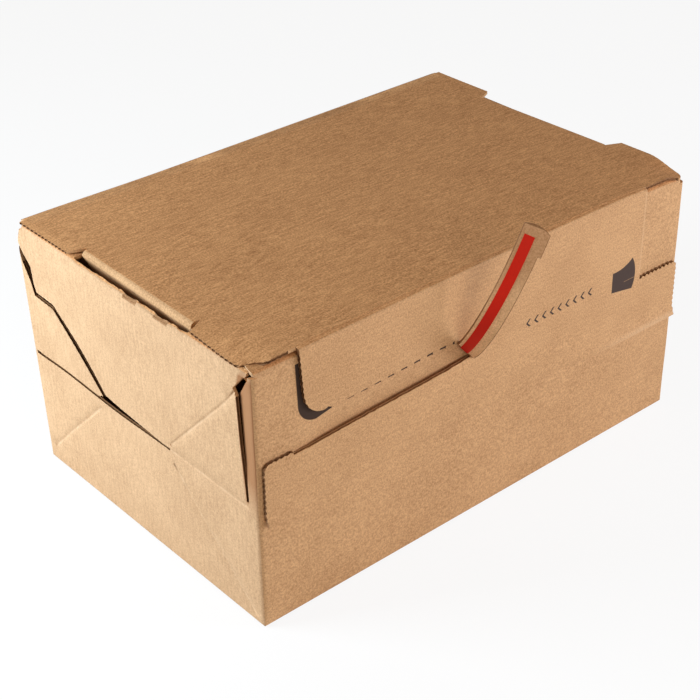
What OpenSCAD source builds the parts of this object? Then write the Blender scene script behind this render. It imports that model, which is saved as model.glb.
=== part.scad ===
/* [Box] */
// Outside length of the box, along X
box_l = 305; // [260:1:400]
// Outside depth of the box, along Y, without the closing flap
box_w = 201; // [180:1:260]
// Height of the top of the lid above the floor
box_h = 153.5; // [145:0.5:200]

/* [Board] */
// Thickness of the corrugated board
board_t = 1.8; // [1.4:0.1:2.4]
// Outside radius of a folded edge
fold_r = 3; // [2.6:0.1:4.5]
// Air between two layers of board that lie on each other
layer_gap = 0.4; // [0.3:0.05:0.6]
// Depth of a crease line pressed into the board
crease_depth = 0.3; // [0.15:0.05:0.5]
// Radius of the rule that pressed the crease lines
crease_rule_r = 1.5; // [1:0.1:2.5]

/* [Lid] */
// Gap between a raw edge of the lid and the end of the box
lid_inset = 0.5; // [0:0.1:3]
// Radius of the lid's left front corner
lid_left_r = 13; // [8:0.5:16]
// Radius of the lid's right front corner
lid_right_r = 5; // [3:0.5:8]
// Distance of a tuck tab's face from the end of the box
tab_set = 7; // [6:0.5:12]
// Width of a tuck tab, along Y
tab_w = 96; // [80:1:120]
// Length of a tuck tab below its fold
tab_drop = 32; // [20:1:45]
// Clearance at each side of a tuck tab, in the lid and in its slot
tab_relief = 1.5; // [1:0.5:4]
// How far the sides of a tab's recess spread towards the raw edge
recess_flare = 5; // [0:0.5:8]

/* [Closing flap] */
// Distance of the flap's neck from the left end of the box
neck_left = 28; // [20:0.5:35]
// Distance of the flap's neck from the right end of the box
neck_right = 35; // [25:0.5:40]
// Distance of the flap's wide foot from both ends of the box
foot_inset = 3.2; // [3:0.1:6]
// Height of the flap's lower edge above the floor
foot_z = 64; // [50:1:70]
// Height of the flap's shoulders above the floor
shoulder_z = 100; // [90:0.5:101]
// Radius of the shoulders
shoulder_r = 4; // [2:0.5:6]
// Radius of the neck's free lower corner
neck_corner_r = 13; // [8:0.5:16]

/* [Tear strip] */
// Height of the upper tear line above the floor
tear_z = 115.4; // [112:0.1:117]
// Width of the strip
strip_w = 12.4; // [11:0.1:13]
// Straight reach of the torn-off end from its root to its tip
strip_l = 73; // [55:1:80]
// Distance of the strip's root, on the upper tear line, from the left end of the box
root_left = 130.5; // [100:0.5:150]
// How far the root's lower end lies to the right of its upper end
root_skew = 10; // [6:1:14]
// Angle of the torn-off end above the horizontal, seen from the front
strip_rise = 57.5; // [50:0.5:64]
// Angle at which the torn-off end leaves the front of the box
strip_lift = 69; // [55:1:74]
// Radius of the torn-off end's curl
strip_curl_r = 63.5; // [50:0.5:80]
// Turn of the torn-off end about its own length
strip_turn = 44; // [35:1:50]
// Radius of the rounding across the strip's end
strip_end_r = 14; // [10:1:20]
// Length of the wider grip at the strip's end
grip_l = 13; // [8:1:20]
// Extra width of the grip
grip_step = 1.6; // [0.8:0.2:2.4]
// Width of the tear tape
tape_w = 5.4; // [4:0.2:7]
// Distance of the tape from the strip's upper edge
tape_set = 2; // [1:0.2:3.5]
// Thickness of the tear tape
tape_t = 0.2; // [0.1:0.05:0.25]
// Length of strip left bare beyond the end of the tape
tape_end_gap = 6; // [3:0.5:10]

/* [Perforation] */
// Length of one cut of the perforation
perf_cut = 4.1; // [3:0.1:5]
// Spacing of the cuts
perf_pitch = 8.7; // [7:0.1:10]
// Height of the first and of the last cut
perf_open = [0.3, 0.9];
// Width of the tear lines, cut into the back of the flap where the strip is whole
score_w = 0.5; // [0.3:0.1:0.8]
// Depth of the tear lines
score_depth = 0.9; // [0.5:0.1:1.2]

/* [Seal strip] */
// Width of the adhesive strip
seal_w = 25; // [15:1:30]
// Distance of the adhesive strip from the flap's lower edge
seal_margin = 4; // [2:0.5:6]
// Distance of the strip's ends from the sides of the flap's foot
seal_end_gap = 12; // [8:1:20]

/* [End walls] */
// Height of the slit that divides each end wall
slit_z = 71.5; // [60:0.5:80]
// Length of the slit, from the rear edge
slit_l = 128; // [115:1:140]
// Width of the slit
slit_w = 1.2; // [0.8:0.1:2]
// Widest opening of the gaping middle stretch of the slit
gape = 5; // [2:0.5:7]
// Distance of the gaping stretch from the rear edge
gape_start = 73; // [65:1:85]
// Length of the gaping stretch behind its widest place
gape_lead = 10; // [5:1:20]
// Width of the slanting gap beside the rear corner piece
corner_gap = 3.2; // [2:0.2:5]
// Half the width of that gap at its widest place, level with the slit
corner_bulge = 4; // [3:0.5:5]
// Distance of the slanting gap's upper end below the top of the end wall
corner_drop = 9; // [7:0.5:15]
// Distance of the rear corner piece's knee from the rear edge
knee_set = 13; // [10:1:18]
// Height of the knee above the slit
knee_rise = 40; // [30:1:45]
// Width of the level shelf in front of the knee
shelf_w = 16; // [8:1:20]
// Width of the upright slit near the front corner
front_slit_w = 2; // [1.2:0.1:3]
// Distance of the upright slit from the front of the box
front_slit_set = 8; // [7:0.5:12]
// Distance of the hole at the slit's upper end below the top of the end wall
corner_hole_drop = 15.5; // [14:0.5:20]
// Reach of the dust flaps under the lid
dust_reach = 48; // [30:1:60]
// Distance of the end dust flaps from the upright folds of the front
front_end_gap = 4; // [3:0.5:6]
// Distance of the end dust flaps from the upright folds of the rear
rear_end_gap = 0.8; // [0.5:0.1:4]
// Distance of the front dust flap from the upright folds
front_flap_gap = 1; // [0.5:0.1:4]

/* [Hidden] */
$fn = 48;
cut_over = 2;

// Layers under the lid, from the top down
lid_under = box_h - board_t;
front_top = lid_under - layer_gap;
end_top = front_top - board_t - layer_gap;

// Planes of the front: the wall's face, then the closing flap that lies on it
front_y = -box_w / 2;
flap_back_y = front_y - layer_gap;
flap_face_y = flap_back_y - board_t;
rear_y = box_w / 2;
left_x = -box_l / 2;

// The neck, the foot and the root of the strip, measured from the middle of the box
neck_l_x = left_x + neck_left;
neck_r_x = -left_x - neck_right;
foot_half = box_l / 2 - foot_inset;
root_top_x = left_x + root_left;
root_low_x = root_top_x + root_skew;
tear_low_z = tear_z - strip_w + grip_step / 2;
torn_step_x = neck_l_x - 7;
torn_step_z = shoulder_z - grip_step;
torn_level_x = neck_l_x + neck_corner_r + 6;

// The root: its middle, its length and slope, and the angle at which the strip stands on it
root_mid = [(root_top_x + root_low_x) / 2, flap_face_y, (tear_z + tear_low_z) / 2];
root_len = norm([root_skew, tear_z - tear_low_z]);
root_angle = atan2(tear_low_z - tear_z, root_skew);
strip_start = [cos(strip_rise) * cos(strip_lift) - sin(strip_rise) * sin(strip_turn) * sin(strip_lift),
    sin(strip_rise) * cos(strip_lift) + cos(strip_rise) * sin(strip_turn) * sin(strip_lift),
    cos(strip_turn) * sin(strip_lift)];
peel_angle = atan2(strip_start[2], cos(root_angle) * strip_start[1] - sin(root_angle) * strip_start[0]);

// An L of bent board: outer corner at the origin, one leg down, one leg to the right
module bent_board(down, across) {
    translate([0, -fold_r - down]) square([board_t, down + 0.01]);
    translate([fold_r - 0.01, -board_t]) square([across + 0.01, board_t]);
    intersection() {
        translate([fold_r, -fold_r]) difference() {
            circle(fold_r);
            circle(fold_r - board_t);
        }
        translate([0, -fold_r]) square(fold_r);
    }
}

// A rectangle centred on the Y axis with its lower two corners rounded
module cradle(width, height, r) {
    translate([-width / 2, r]) square([width, height - r]);
    translate([r - width / 2, 0]) square([width - 2 * r, r + 0.01]);
    for (side = [-1, 1]) translate([side * (width / 2 - r), r]) circle(r);
}

module rounded_rect(length, width, r) {
    square([length - 2 * r, width], center = true);
    square([length, width - 2 * r], center = true);
    for (sx = [-1, 1], sy = [-1, 1]) translate([sx * (length / 2 - r), sy * (width / 2 - r)]) circle(r);
}

// A tub with round upright and bottom edges
module tub(length, width, height, r) {
    intersection() {
        linear_extrude(height) rounded_rect(length, width, r);
        rotate([90, 0, 0]) linear_extrude(width + cut_over, center = true) cradle(length, height, r);
        rotate([90, 0, 90]) linear_extrude(length + cut_over, center = true) cradle(width, height, r);
    }
}

// Step to the side of a path at one of its points, one unit from the stretches on both sides of it
function side_step(points, i) = let (last = len(points) - 1, back = max(i, 1), on = min(i, last - 1),
    before = points[back] - points[back - 1], after = points[on + 1] - points[on],
    a = [-before[1], before[0]] / norm(before), b = [-after[1], after[0]] / norm(after))
    (a + b) / (1 + a * b);

// A cut of a given width along a path
module cut_path(points, width) {
    last = len(points) - 1;
    polygon(concat([for (i = [0 : last]) points[i] + side_step(points, i) * width / 2],
        [for (i = [last : -1 : 0]) points[i] - side_step(points, i) * width / 2]));
}

// Openings in an end wall, drawn from the rear edge forwards and from the floor up
module end_cuts() {
    front_u = box_w - front_slit_set;
    hole_z = end_top - corner_hole_drop;
    knee = [knee_set, slit_z + knee_rise];
    corner_top = [-1, end_top - corner_drop];
    corner_mid = (corner_top + knee) / 2 + [corner_gap / 2, corner_gap / 2];
    cut_path([[fold_r + 1, slit_z], [slit_l, slit_z]], slit_w);
    polygon([[gape_start - gape_lead, slit_z], [gape_start, slit_z + gape], [slit_l, slit_z]]);
    cut_path([corner_top, corner_mid, knee, knee + [shelf_w, -1],
        [gape_start, slit_z + corner_gap / 2]], corner_gap);
    polygon([corner_top, corner_mid + [corner_bulge, 0], knee, corner_mid - [corner_bulge, 0]]);
    cut_path([[front_u, slit_z + corner_gap], [front_u - front_slit_w, hole_z]], front_slit_w);
    polygon([[front_u - 2.5 * front_slit_w, hole_z + 2 * front_slit_w],
        [front_u - front_slit_w, hole_z - 1],
        [front_u + 2.4 * front_slit_w, end_top - fold_r - 1],
        [front_u + 1.4 * front_slit_w, end_top - fold_r - 0.2]]);
}

// Creases of an end wall, as pairs of points on the same axes as the cuts
function end_creases() = let (apex = [slit_l, slit_z],
    reach = box_w - front_slit_set - slit_l - corner_gap) [
    [[fold_r + 5, fold_r + 8], [slit_z - 6, slit_z - 6]],
    [apex + [1, 3], apex + [reach, reach + 3]],
    [apex + [3, -7], [box_w - fold_r - 2, fold_r + 2]],
    [apex, [box_w - front_slit_set, slit_z]]
];

module crease(from, to) {
    run = to - from;
    translate([from[0], from[1], crease_rule_r - crease_depth]) rotate([0, 90, atan2(run[1], run[0])])
        cylinder(r = crease_rule_r, h = norm(run));
}

// Turns a drawing of the left end wall into place: its Z axis points out of the box
module on_left_end() {
    translate([left_x, rear_y, 0]) multmatrix([[0, 0, -1, 0], [-1, 0, 0, 0], [0, 1, 0, 0]]) children();
}

module both_ends() {
    children();
    mirror([1, 0, 0]) children();
}

// Bottom and walls, with the end walls lower than the front and the rear wall
module walls() {
    difference() {
        tub(box_l, box_w, box_h - fold_r, fold_r);
        translate([0, 0, board_t]) tub(box_l - 2 * board_t, box_w - 2 * board_t, box_h, fold_r - board_t);
        translate([-box_l, front_y - 1, front_top - fold_r]) cube([2 * box_l, box_w + 1 - fold_r, box_h]);
        both_ends() {
            translate([left_x - 1, front_y + fold_r, end_top - fold_r]) cube([fold_r + 1, box_w, box_h]);
            on_left_end() {
                translate([0, 0, -2 * board_t]) linear_extrude(4 * board_t) end_cuts();
                for (c = end_creases()) crease(c[0], c[1]);
            }
        }
    }
    front_dust_flap();
    both_ends() end_dust_flap();
}

module front_dust_flap() {
    span = box_l - 2 * (fold_r + front_flap_gap);
    translate([0, front_y, front_top]) rotate([90, 0, 90]) linear_extrude(span, center = true)
        bent_board(board_t, dust_reach);
}

// The end wall's top folds in as a dust flap, with a slot beside the wall for the lid's tab
module end_dust_flap() {
    front_end = front_y + fold_r + front_end_gap;
    rear_end = rear_y - fold_r - rear_end_gap;
    slot_w = tab_w + 2 * tab_relief;
    difference() {
        translate([left_x, rear_end, end_top]) rotate([90, 0, 0]) linear_extrude(rear_end - front_end)
            bent_board(board_t, dust_reach);
        translate([left_x + board_t, -slot_w / 2, end_top - fold_r])
            cube([tab_set + layer_gap, slot_w, fold_r + 1]);
    }
}

// Plan of the lid between its rear fold and its front edge, with the recesses of the two tabs
module lid_plan() {
    half = box_l / 2 - lid_inset;
    fold_x = box_l / 2 - tab_set - fold_r;
    recess_half = tab_w / 2 + tab_relief;
    mouth_half = recess_half + recess_flare;
    edge_y = front_y + layer_gap;
    difference() {
        union() {
            translate([-half, edge_y + lid_left_r])
                square([2 * half, rear_y - fold_r - edge_y - lid_left_r + 0.01]);
            translate([lid_left_r - half, edge_y + lid_right_r])
                square([2 * half - lid_left_r, lid_left_r - lid_right_r + 0.01]);
            translate([lid_left_r - half, edge_y])
                square([2 * half - lid_left_r - lid_right_r, lid_right_r + 0.01]);
            translate([lid_left_r - half, edge_y + lid_left_r]) circle(lid_left_r);
            translate([half - lid_right_r, edge_y + lid_right_r]) circle(lid_right_r);
            translate([neck_l_x, flap_face_y + fold_r]) square([neck_r_x - neck_l_x, lid_right_r + fold_r]);
        }
        for (side = [-1, 1]) polygon([[side * fold_x, -recess_half], [side * (half + 1), -mouth_half],
            [side * (half + 1), mouth_half], [side * fold_x, recess_half]]);
    }
}

module lid() {
    translate([0, 0, lid_under]) linear_extrude(board_t) lid_plan();
    translate([0, rear_y, box_h]) rotate([90, 0, -90]) linear_extrude(box_l - 2 * fold_r, center = true)
        bent_board(board_t, board_t);
    both_ends() translate([left_x + tab_set, 0, box_h]) rotate([90, 0, 0])
        linear_extrude(tab_w, center = true) bent_board(tab_drop, board_t);
}

// Front view of the closing flap: neck, what is left of the tear band, and the wide foot
module flap_outline() {
    neck_top = box_h - fold_r + 0.01;
    difference() {
        union() {
            translate([-foot_half, foot_z]) square([2 * foot_half, shoulder_z - shoulder_r - foot_z]);
            translate([shoulder_r - foot_half, foot_z])
                square([2 * (foot_half - shoulder_r), shoulder_z - foot_z]);
            for (side = [-1, 1]) translate([side * (foot_half - shoulder_r), shoulder_z - shoulder_r])
                circle(shoulder_r);
            polygon([[torn_step_x, torn_step_z - 1], [torn_step_x, torn_step_z], [torn_level_x, shoulder_z],
                [root_low_x, tear_low_z], [root_top_x, tear_z], [neck_r_x, tear_z],
                [neck_r_x, torn_step_z - 1]]);
            translate([neck_l_x, tear_z + neck_corner_r])
                square([neck_r_x - neck_l_x, neck_top - tear_z - neck_corner_r]);
            translate([neck_l_x + neck_corner_r, tear_z])
                square([neck_r_x - neck_l_x - neck_corner_r, neck_corner_r + 0.01]);
            translate([neck_l_x + neck_corner_r, tear_z + neck_corner_r]) circle(neck_corner_r);
        }
        polygon([[torn_step_x, torn_step_z], [torn_level_x, shoulder_z], [torn_step_x, shoulder_z + 0.01]]);
        perforation();
    }
}

// Cuts of the perforation along the torn edge, opening wider towards the root
module perforation() {
    first = neck_l_x + neck_corner_r + 6;
    count = floor((root_top_x - first - perf_cut) / perf_pitch) + 1;
    for (i = [0 : count - 1]) {
        open = perf_open[0] + (perf_open[1] - perf_open[0]) * i / max(1, count - 1);
        translate([first + i * perf_pitch, tear_z - 0.01]) square([perf_cut, open]);
    }
}

module closing_flap() {
    difference() {
        translate([0, flap_back_y, 0]) rotate([90, 0, 0]) linear_extrude(board_t) flap_outline();
        for (z = [tear_z, tear_low_z]) translate([root_low_x, flap_back_y - score_depth, z - score_w / 2])
            cube([neck_r_x - root_low_x + 1, score_depth + 1, score_w]);
    }
    translate([(neck_l_x + neck_r_x) / 2, flap_face_y, box_h]) rotate([90, 0, 90])
        linear_extrude(neck_r_x - neck_l_x, center = true) bent_board(0.5, 0.5);
}

// Puts a drawing on the torn-off end: X along the strip, Y across it to its upper side, Z away from the box
module on_strip() {
    translate(root_mid) multmatrix([[cos(strip_rise), -sin(strip_rise), 0, 0], [0, 0, -1, 0],
        [sin(strip_rise), cos(strip_rise), 0, 0]]) rotate([-strip_turn, 0, 0]) children();
}

// A layer of the curled strip between two heights above its back
module curled_layer(low, high) {
    rotate([90, 0, 0]) linear_extrude(3 * strip_w, center = true) intersection() {
        translate([strip_curl_r * sin(strip_lift), -strip_curl_r * cos(strip_lift)]) difference() {
            circle(strip_curl_r + high, $fn = 180);
            circle(strip_curl_r + low, $fn = 180);
        }
        translate([-strip_w, -strip_w]) square([strip_l + 2 * strip_w, strip_l]);
    }
}

// Plan of the torn-off end, which is wider at its grip and has a round end
module strip_plan() {
    tip_x = strip_l - strip_end_r;
    translate([-strip_w, -strip_w / 2]) square([tip_x + strip_w, strip_w]);
    translate([strip_l - grip_l, -strip_w / 2 - grip_step]) square([grip_l - strip_end_r + 0.01, strip_w]);
    intersection() {
        translate([tip_x - 0.01, 0]) circle(strip_end_r);
        translate([tip_x - 0.01, -strip_w / 2 - grip_step]) square([strip_end_r, strip_w + grip_step]);
    }
}

// The part of a layer that has left the root
module past_root(low, high) {
    intersection() {
        on_strip() intersection() {
            curled_layer(low, high);
            translate([0, 0, -strip_l]) linear_extrude(2 * strip_l) children();
        }
        on_root() rotate(peel_angle) translate([0, -strip_l, -strip_l]) cube(2 * strip_l);
    }
}

// Draws on a section across the root: X into the standing strip, Y away from the box, Z down along the root
module on_root() {
    translate(root_mid) multmatrix([[-sin(root_angle), 0, cos(root_angle), 0], [0, -1, 0, 0],
        [cos(root_angle), 0, sin(root_angle), 0]]) children();
}

module tear_strip() {
    past_root(0, board_t) strip_plan();
    on_root() linear_extrude(root_len + score_w, center = true) circle(board_t);
}

module carton() {
    color("burlywood") {
        walls();
        lid();
        closing_flap();
        tear_strip();
    }
}

// The tape lies on the torn-off end, turns round the root and runs on behind the rest of the strip
module tear_tape() {
    run_l = neck_r_x - root_mid[0];
    bend = 2 * (board_t + tape_t);
    turn_l = root_len * tape_w / strip_w;
    off_mid = (strip_w - tape_w) / 2 - tape_set;
    color("firebrick") {
        past_root(board_t, board_t + tape_t) translate([-strip_w, off_mid - tape_w / 2])
            square([strip_w + strip_l - tape_end_gap, tape_w]);
        on_root() translate([0, 0, -off_mid * root_len / strip_w])
                linear_extrude(turn_l, center = true) intersection() {
            difference() {
                circle(board_t + tape_t);
                circle(board_t);
            }
            polygon([[0, 0], bend * [cos(peel_angle + 90), sin(peel_angle + 90)],
                [-bend, -bend], [0, -bend]]);
        }
        translate([root_mid[0], flap_back_y, root_mid[2] + off_mid - tape_w / 2])
            cube([run_l, tape_t, tape_w]);
    }
}

module seal_strip() {
    length = 2 * (foot_half - seal_end_gap);
    color("gainsboro") translate([-length / 2, flap_back_y, foot_z + seal_margin])
        cube([length, layer_gap, seal_w]);
}

carton();
tear_tape();
seal_strip();
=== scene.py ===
import math
import bpy
import bmesh
from mathutils import Matrix, Vector, noise


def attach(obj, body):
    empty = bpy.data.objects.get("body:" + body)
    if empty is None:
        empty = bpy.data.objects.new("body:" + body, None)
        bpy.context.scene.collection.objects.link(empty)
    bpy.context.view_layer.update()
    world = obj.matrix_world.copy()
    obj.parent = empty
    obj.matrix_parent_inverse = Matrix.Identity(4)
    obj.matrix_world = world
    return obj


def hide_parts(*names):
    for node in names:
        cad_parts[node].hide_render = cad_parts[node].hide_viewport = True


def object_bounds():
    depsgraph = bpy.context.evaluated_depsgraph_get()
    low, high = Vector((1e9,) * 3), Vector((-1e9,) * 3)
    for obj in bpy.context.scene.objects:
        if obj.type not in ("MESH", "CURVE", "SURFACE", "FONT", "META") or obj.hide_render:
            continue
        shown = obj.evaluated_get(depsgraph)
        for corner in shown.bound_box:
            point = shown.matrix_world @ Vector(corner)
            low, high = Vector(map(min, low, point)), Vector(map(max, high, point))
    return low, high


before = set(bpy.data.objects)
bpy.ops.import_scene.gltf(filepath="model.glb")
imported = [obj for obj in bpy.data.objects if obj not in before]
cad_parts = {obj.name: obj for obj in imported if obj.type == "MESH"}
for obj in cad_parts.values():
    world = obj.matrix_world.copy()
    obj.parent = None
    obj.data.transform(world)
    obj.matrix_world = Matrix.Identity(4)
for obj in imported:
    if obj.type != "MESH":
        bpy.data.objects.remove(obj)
cadLow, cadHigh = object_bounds()
scene = bpy.context.scene
scene.view_settings.view_transform = "Standard"
mm = 0.001

# camera, from the perspective of the photograph, with lengths in millimetres
cameraView = {"focal": 82.60, "sensor": 36, "azimuth": -40.317, "elevation": 32.078, "roll": -0.992,
              "place": (-510.64, -591.97, 544.04)}


def makeCamera():
    az, el, roll = (math.radians(cameraView[k]) for k in ("azimuth", "elevation", "roll"))
    back = Vector((math.sin(az) * math.cos(el), -math.cos(az) * math.cos(el), math.sin(el)))
    flat = Vector((math.cos(az), math.sin(az), 0))
    rise = back.cross(flat)
    side = math.cos(roll) * flat + math.sin(roll) * rise
    up = -math.sin(roll) * flat + math.cos(roll) * rise
    data = bpy.data.cameras.new("camera")
    data.lens = cameraView["focal"]
    data.sensor_width = cameraView["sensor"]
    cam = bpy.data.objects.new("camera", data)
    turn = Matrix((side, up, back)).transposed().to_4x4()
    cam.matrix_world = Matrix.Translation(Vector(cameraView["place"]) * mm) @ turn
    scene.collection.objects.link(cam)
    scene.camera = cam


makeCamera()
print("camera set")

# the board: planes of the folded sheet, in millimetres from the middle of the bottom
board = {"left": round(cadLow[0] / mm, 1), "front": -round(cadHigh[1] / mm, 1),
         "rear": round(cadHigh[1] / mm, 1), "lidTop": 153.5, "lidUnder": 151.7, "flapFace": -102.7,
         "flapBack": -100.9, "footLow": 64, "shoulder": 100, "tearTop": 115.4, "neckLeft": -124.5,
         "neckRight": 117.5, "tornStep": -131.5, "rootLow": -12}
boxLength = -2 * board["left"]
boxDepth = board["rear"] - board["front"]

# finishes of the board in the order of their slots: tint, weights of the pulp grain and of the streaks,
# the axes across and along the flutes, and the relief. The tints of the lid, front and end are painted light
# and shade, one paper lighter or darker by the way its faces look; the strip's tint is painted light
panels = {
    "lid": {"tint": (1.01, 0.85, 0.69, 1), "grain": 1.75, "streak": 1.2, "axes": (1, 0), "relief": 0.2},
    "front": {"tint": (1.0, 0.98, 0.95, 1), "grain": 1.35, "streak": 0.3, "axes": (2, 0), "relief": 0.2},
    "end": {"tint": (1.0, 1.04, 1.13, 1), "grain": 0.9, "streak": 0.5, "axes": (1, 2), "relief": 0.2},
    # the raw edges' dark tint is partly the cut paper and partly painted shade of their hollows and gaps
    "edge": {"tint": (0.46, 0.38, 0.32, 1), "grain": 1.2, "streak": 0.4, "axes": (2, 0), "relief": 0.6},
    "strip": {"tint": (1.34, 1.37, 1.44, 1), "grain": 1.2, "streak": 0.4, "axes": (0, 2), "relief": 0.2},
    "torn": {"tint": (0.66, 0.58, 0.52, 1), "grain": 1.6, "streak": 0.4, "axes": (1, 2), "relief": 0.6},
}
slotOf = {panel: k for k, panel in enumerate(panels)}


def ease(t):
    t = min(1.0, max(0.0, t))
    return t * t * (3 - 2 * t)


# runs softly from 0 at the start of the span to 1 at its end, which may lie below the start
def ramp(value, span):
    start, end = span
    return ease((value - start) / (end - start))


def within(value, span):
    return span[0] < value < span[1]


def mid(face):
    return face.calc_center_median()


def cadCopy(name, weld=0.002, flatAngle=0.3):
    bm = bmesh.new()
    bm.from_mesh(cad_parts[name].data)
    bmesh.ops.scale(bm, vec=(1 / mm,) * 3, verts=bm.verts)
    bmesh.ops.remove_doubles(bm, verts=bm.verts, dist=weld)
    bmesh.ops.dissolve_limit(bm, angle_limit=math.radians(flatAngle), use_dissolve_boundaries=False,
                             verts=bm.verts, edges=bm.edges, delimit=set())
    return bm


# cuts the given faces along planes across one axis and gives the faces back
def cutRows(bm, faces, axis, marks):
    across = Vector((0, 0, 0))
    across[axis] = 1
    for mark in marks:
        geom = set(faces)
        for face in faces:
            geom.update(face.edges)
            geom.update(face.verts)
        cut = bmesh.ops.bisect_plane(bm, geom=list(geom), dist=1e-4, plane_co=across * mark, plane_no=across)
        faces = [g for g in cut["geom"] if isinstance(g, bmesh.types.BMFace)]
    return faces


def stepMarks(low, high, step):
    return [k * step for k in range(math.ceil(low / step), math.floor(high / step) + 1)]


# raw edges of the sheet: each test knows the faces of one edge by their middle and normal
edgeAt = {"lidSkin": 0.2, "lidEnd": 147, "lidEndFront": -90, "lidFront": -85, "flapSkin": 0.1,
          "footTop": board["shoulder"] + 0.5, "neckSides": (-105, 100), "shoulder": (94, 101),
          "lip": (97, 105), "footLow": board["footLow"] + 1, "footLowFrom": 70, "endSkin": (151.2, 152.0),
          "end": (60, 146), "endSlit": (-60, 88), "rearSlit": (88, 96), "frontSlit": (-96, -85),
          "frontSlitTop": 132}


def inLid(c):
    return board["lidUnder"] + edgeAt["lidSkin"] < c.z < board["lidTop"] - edgeAt["lidSkin"]


def inFlap(c):
    return board["flapFace"] + edgeAt["flapSkin"] < c.y < board["flapBack"] - edgeAt["flapSkin"]


def inEnd(c):
    return within(abs(c.x), edgeAt["endSkin"]) and within(c.z, edgeAt["end"])


def isLidEnd(c, n):
    return inLid(c) and n.x < -0.7 and c.x < -edgeAt["lidEnd"]


def isRightLidEnd(c, n):
    return inLid(c) and n.x > 0.7 and c.x > edgeAt["lidEnd"] and c.y > edgeAt["lidEndFront"]


def isLidFront(c, n):
    neck = (board["neckLeft"] - edgeAt["lidSkin"], board["neckRight"] + edgeAt["lidSkin"])
    beside = c.x < edgeAt["lidEnd"] and not within(c.x, neck)
    return inLid(c) and n.y < -0.7 and c.y < edgeAt["lidFront"] and beside


def isFootSide(c, n):
    return inFlap(c) and abs(n.x) > 0.6 and c.z < edgeAt["footTop"]


def isNeckSide(c, n):
    return inFlap(c) and abs(n.x) > 0.75 and c.z > edgeAt["footTop"] and not within(c.x, edgeAt["neckSides"])


def isShoulder(c, n):
    return inFlap(c) and n.z > 0.6 and within(c.z, edgeAt["shoulder"]) and c.x < board["tornStep"]


def isRightShoulder(c, n):
    return inFlap(c) and n.z > 0.6 and within(c.z, edgeAt["shoulder"]) and c.x > board["neckRight"]


def isTornLip(c, n):
    along = board["tornStep"] < c.x < board["rootLow"]
    return inFlap(c) and n.z > 0.6 and within(c.z, edgeAt["lip"]) and along


def isFootLow(c, n):
    return inFlap(c) and n.z < -0.6 and c.z < edgeAt["footLow"] and c.x > edgeAt["footLowFrom"]


def isEndSlit(c, n):
    return inEnd(c) and abs(n.x) < 0.3 and within(c.y, edgeAt["endSlit"])


def isRearSlit(c, n):
    return inEnd(c) and abs(n.x) < 0.3 and within(c.y, edgeAt["rearSlit"])


def isFrontSlit(c, n):
    return inEnd(c) and abs(n.y) > 0.9 and within(c.y, edgeAt["frontSlit"]) and c.z < edgeAt["frontSlitTop"]


# what each edge's cut shows: the axis it runs along, how far the flutes wave it, open flutes or one groove
rawEdges = [
    {"pick": isLidEnd, "axis": 1, "tooth": 0.8, "cut": "flutes"},
    {"pick": isRightLidEnd, "axis": 1, "tooth": 0.2, "cut": "flutes", "depth": 0.6},
    {"pick": isLidFront, "axis": 0, "tooth": 0.8, "cut": "groove"},
    {"pick": isFootSide, "axis": 2, "tooth": 1.0, "cut": "flutes"},
    {"pick": isNeckSide, "axis": 2, "tooth": 0.8, "cut": "flutes"},
    {"pick": isShoulder, "axis": 0, "tooth": 1.2, "cut": "groove"},
    {"pick": isRightShoulder, "axis": 0, "tooth": 2.4, "cut": "groove"},
    {"pick": isTornLip, "axis": 0, "tooth": 0.0, "cut": "groove", "ragged": 0.56, "liner": 0.4, "depth": 0.4,
     "rim": "front"},
    {"pick": isFootLow, "axis": 0, "tooth": 0.0, "cut": "groove"},
    {"pick": isEndSlit, "axis": 1, "tooth": 0.3, "cut": "groove", "liner": 0.4, "depth": 4.0},
    {"pick": isRearSlit, "axis": 1, "tooth": 0.0, "cut": "groove", "liner": 0.3, "depth": 2.2},
    {"pick": isFrontSlit, "axis": 2, "tooth": 0.0, "cut": "groove", "liner": 0.4, "depth": 4.0},
]
flutes = {"step": 1.65, "toothHeight": 0.32, "raggedScale": 0.35, "cellRim": 0.102, "cellTaper": 0.03,
          "cellDepth": 1.4, "grooveRim": 0.34, "grooveTaper": 0.04, "grooveDepth": 0.8}


# how far the vertices of a raw edge move out and in: waved by the flutes, ragged where it is torn
def waveEdge(faces, edge):
    axis, step = edge["axis"], flutes["step"]
    outward = {}
    for face in faces:
        for v in face.verts:
            outward[v] = outward.get(v, Vector()) + face.normal
    shifts = {}
    for v, out in outward.items():
        k = round(v.co[axis] / step)
        if abs(v.co[axis] - k * step) > 0.01:
            continue
        tooth = flutes["toothHeight"] * edge["tooth"] * (1 if k % 2 else -1)
        ragged = edge.get("ragged", 0) * noise.noise((v.co[axis] * flutes["raggedScale"], 3.1, 0))
        shifts[v] = (tooth + ragged) * out.normalized()
    return shifts


# splits the faces of a raw edge across, leaning to and fro like the fluted layer
def splitFlutes(faces, axis):
    thick = 2 if axis == 1 else 1    # the axis through the board
    diagonals = []
    for face in faces:
        if len(face.verts) != 4:
            continue
        c = mid(face)
        lean = 1 if round(c[axis] / flutes["step"] - 0.5) % 2 else -1
        order = sorted(face.verts, key=lambda v: (v.co[axis] - c[axis]) * lean + (v.co[thick] - c[thick]))
        diagonals.append((face, order[0], order[3]))
    cells = []
    for face, a, b in diagonals:
        if any(e.other_vert(a) is b for e in a.link_edges):
            continue
        other, loop = bmesh.utils.face_split(face, a, b)
        cells += [face, other]
    return cells


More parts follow.
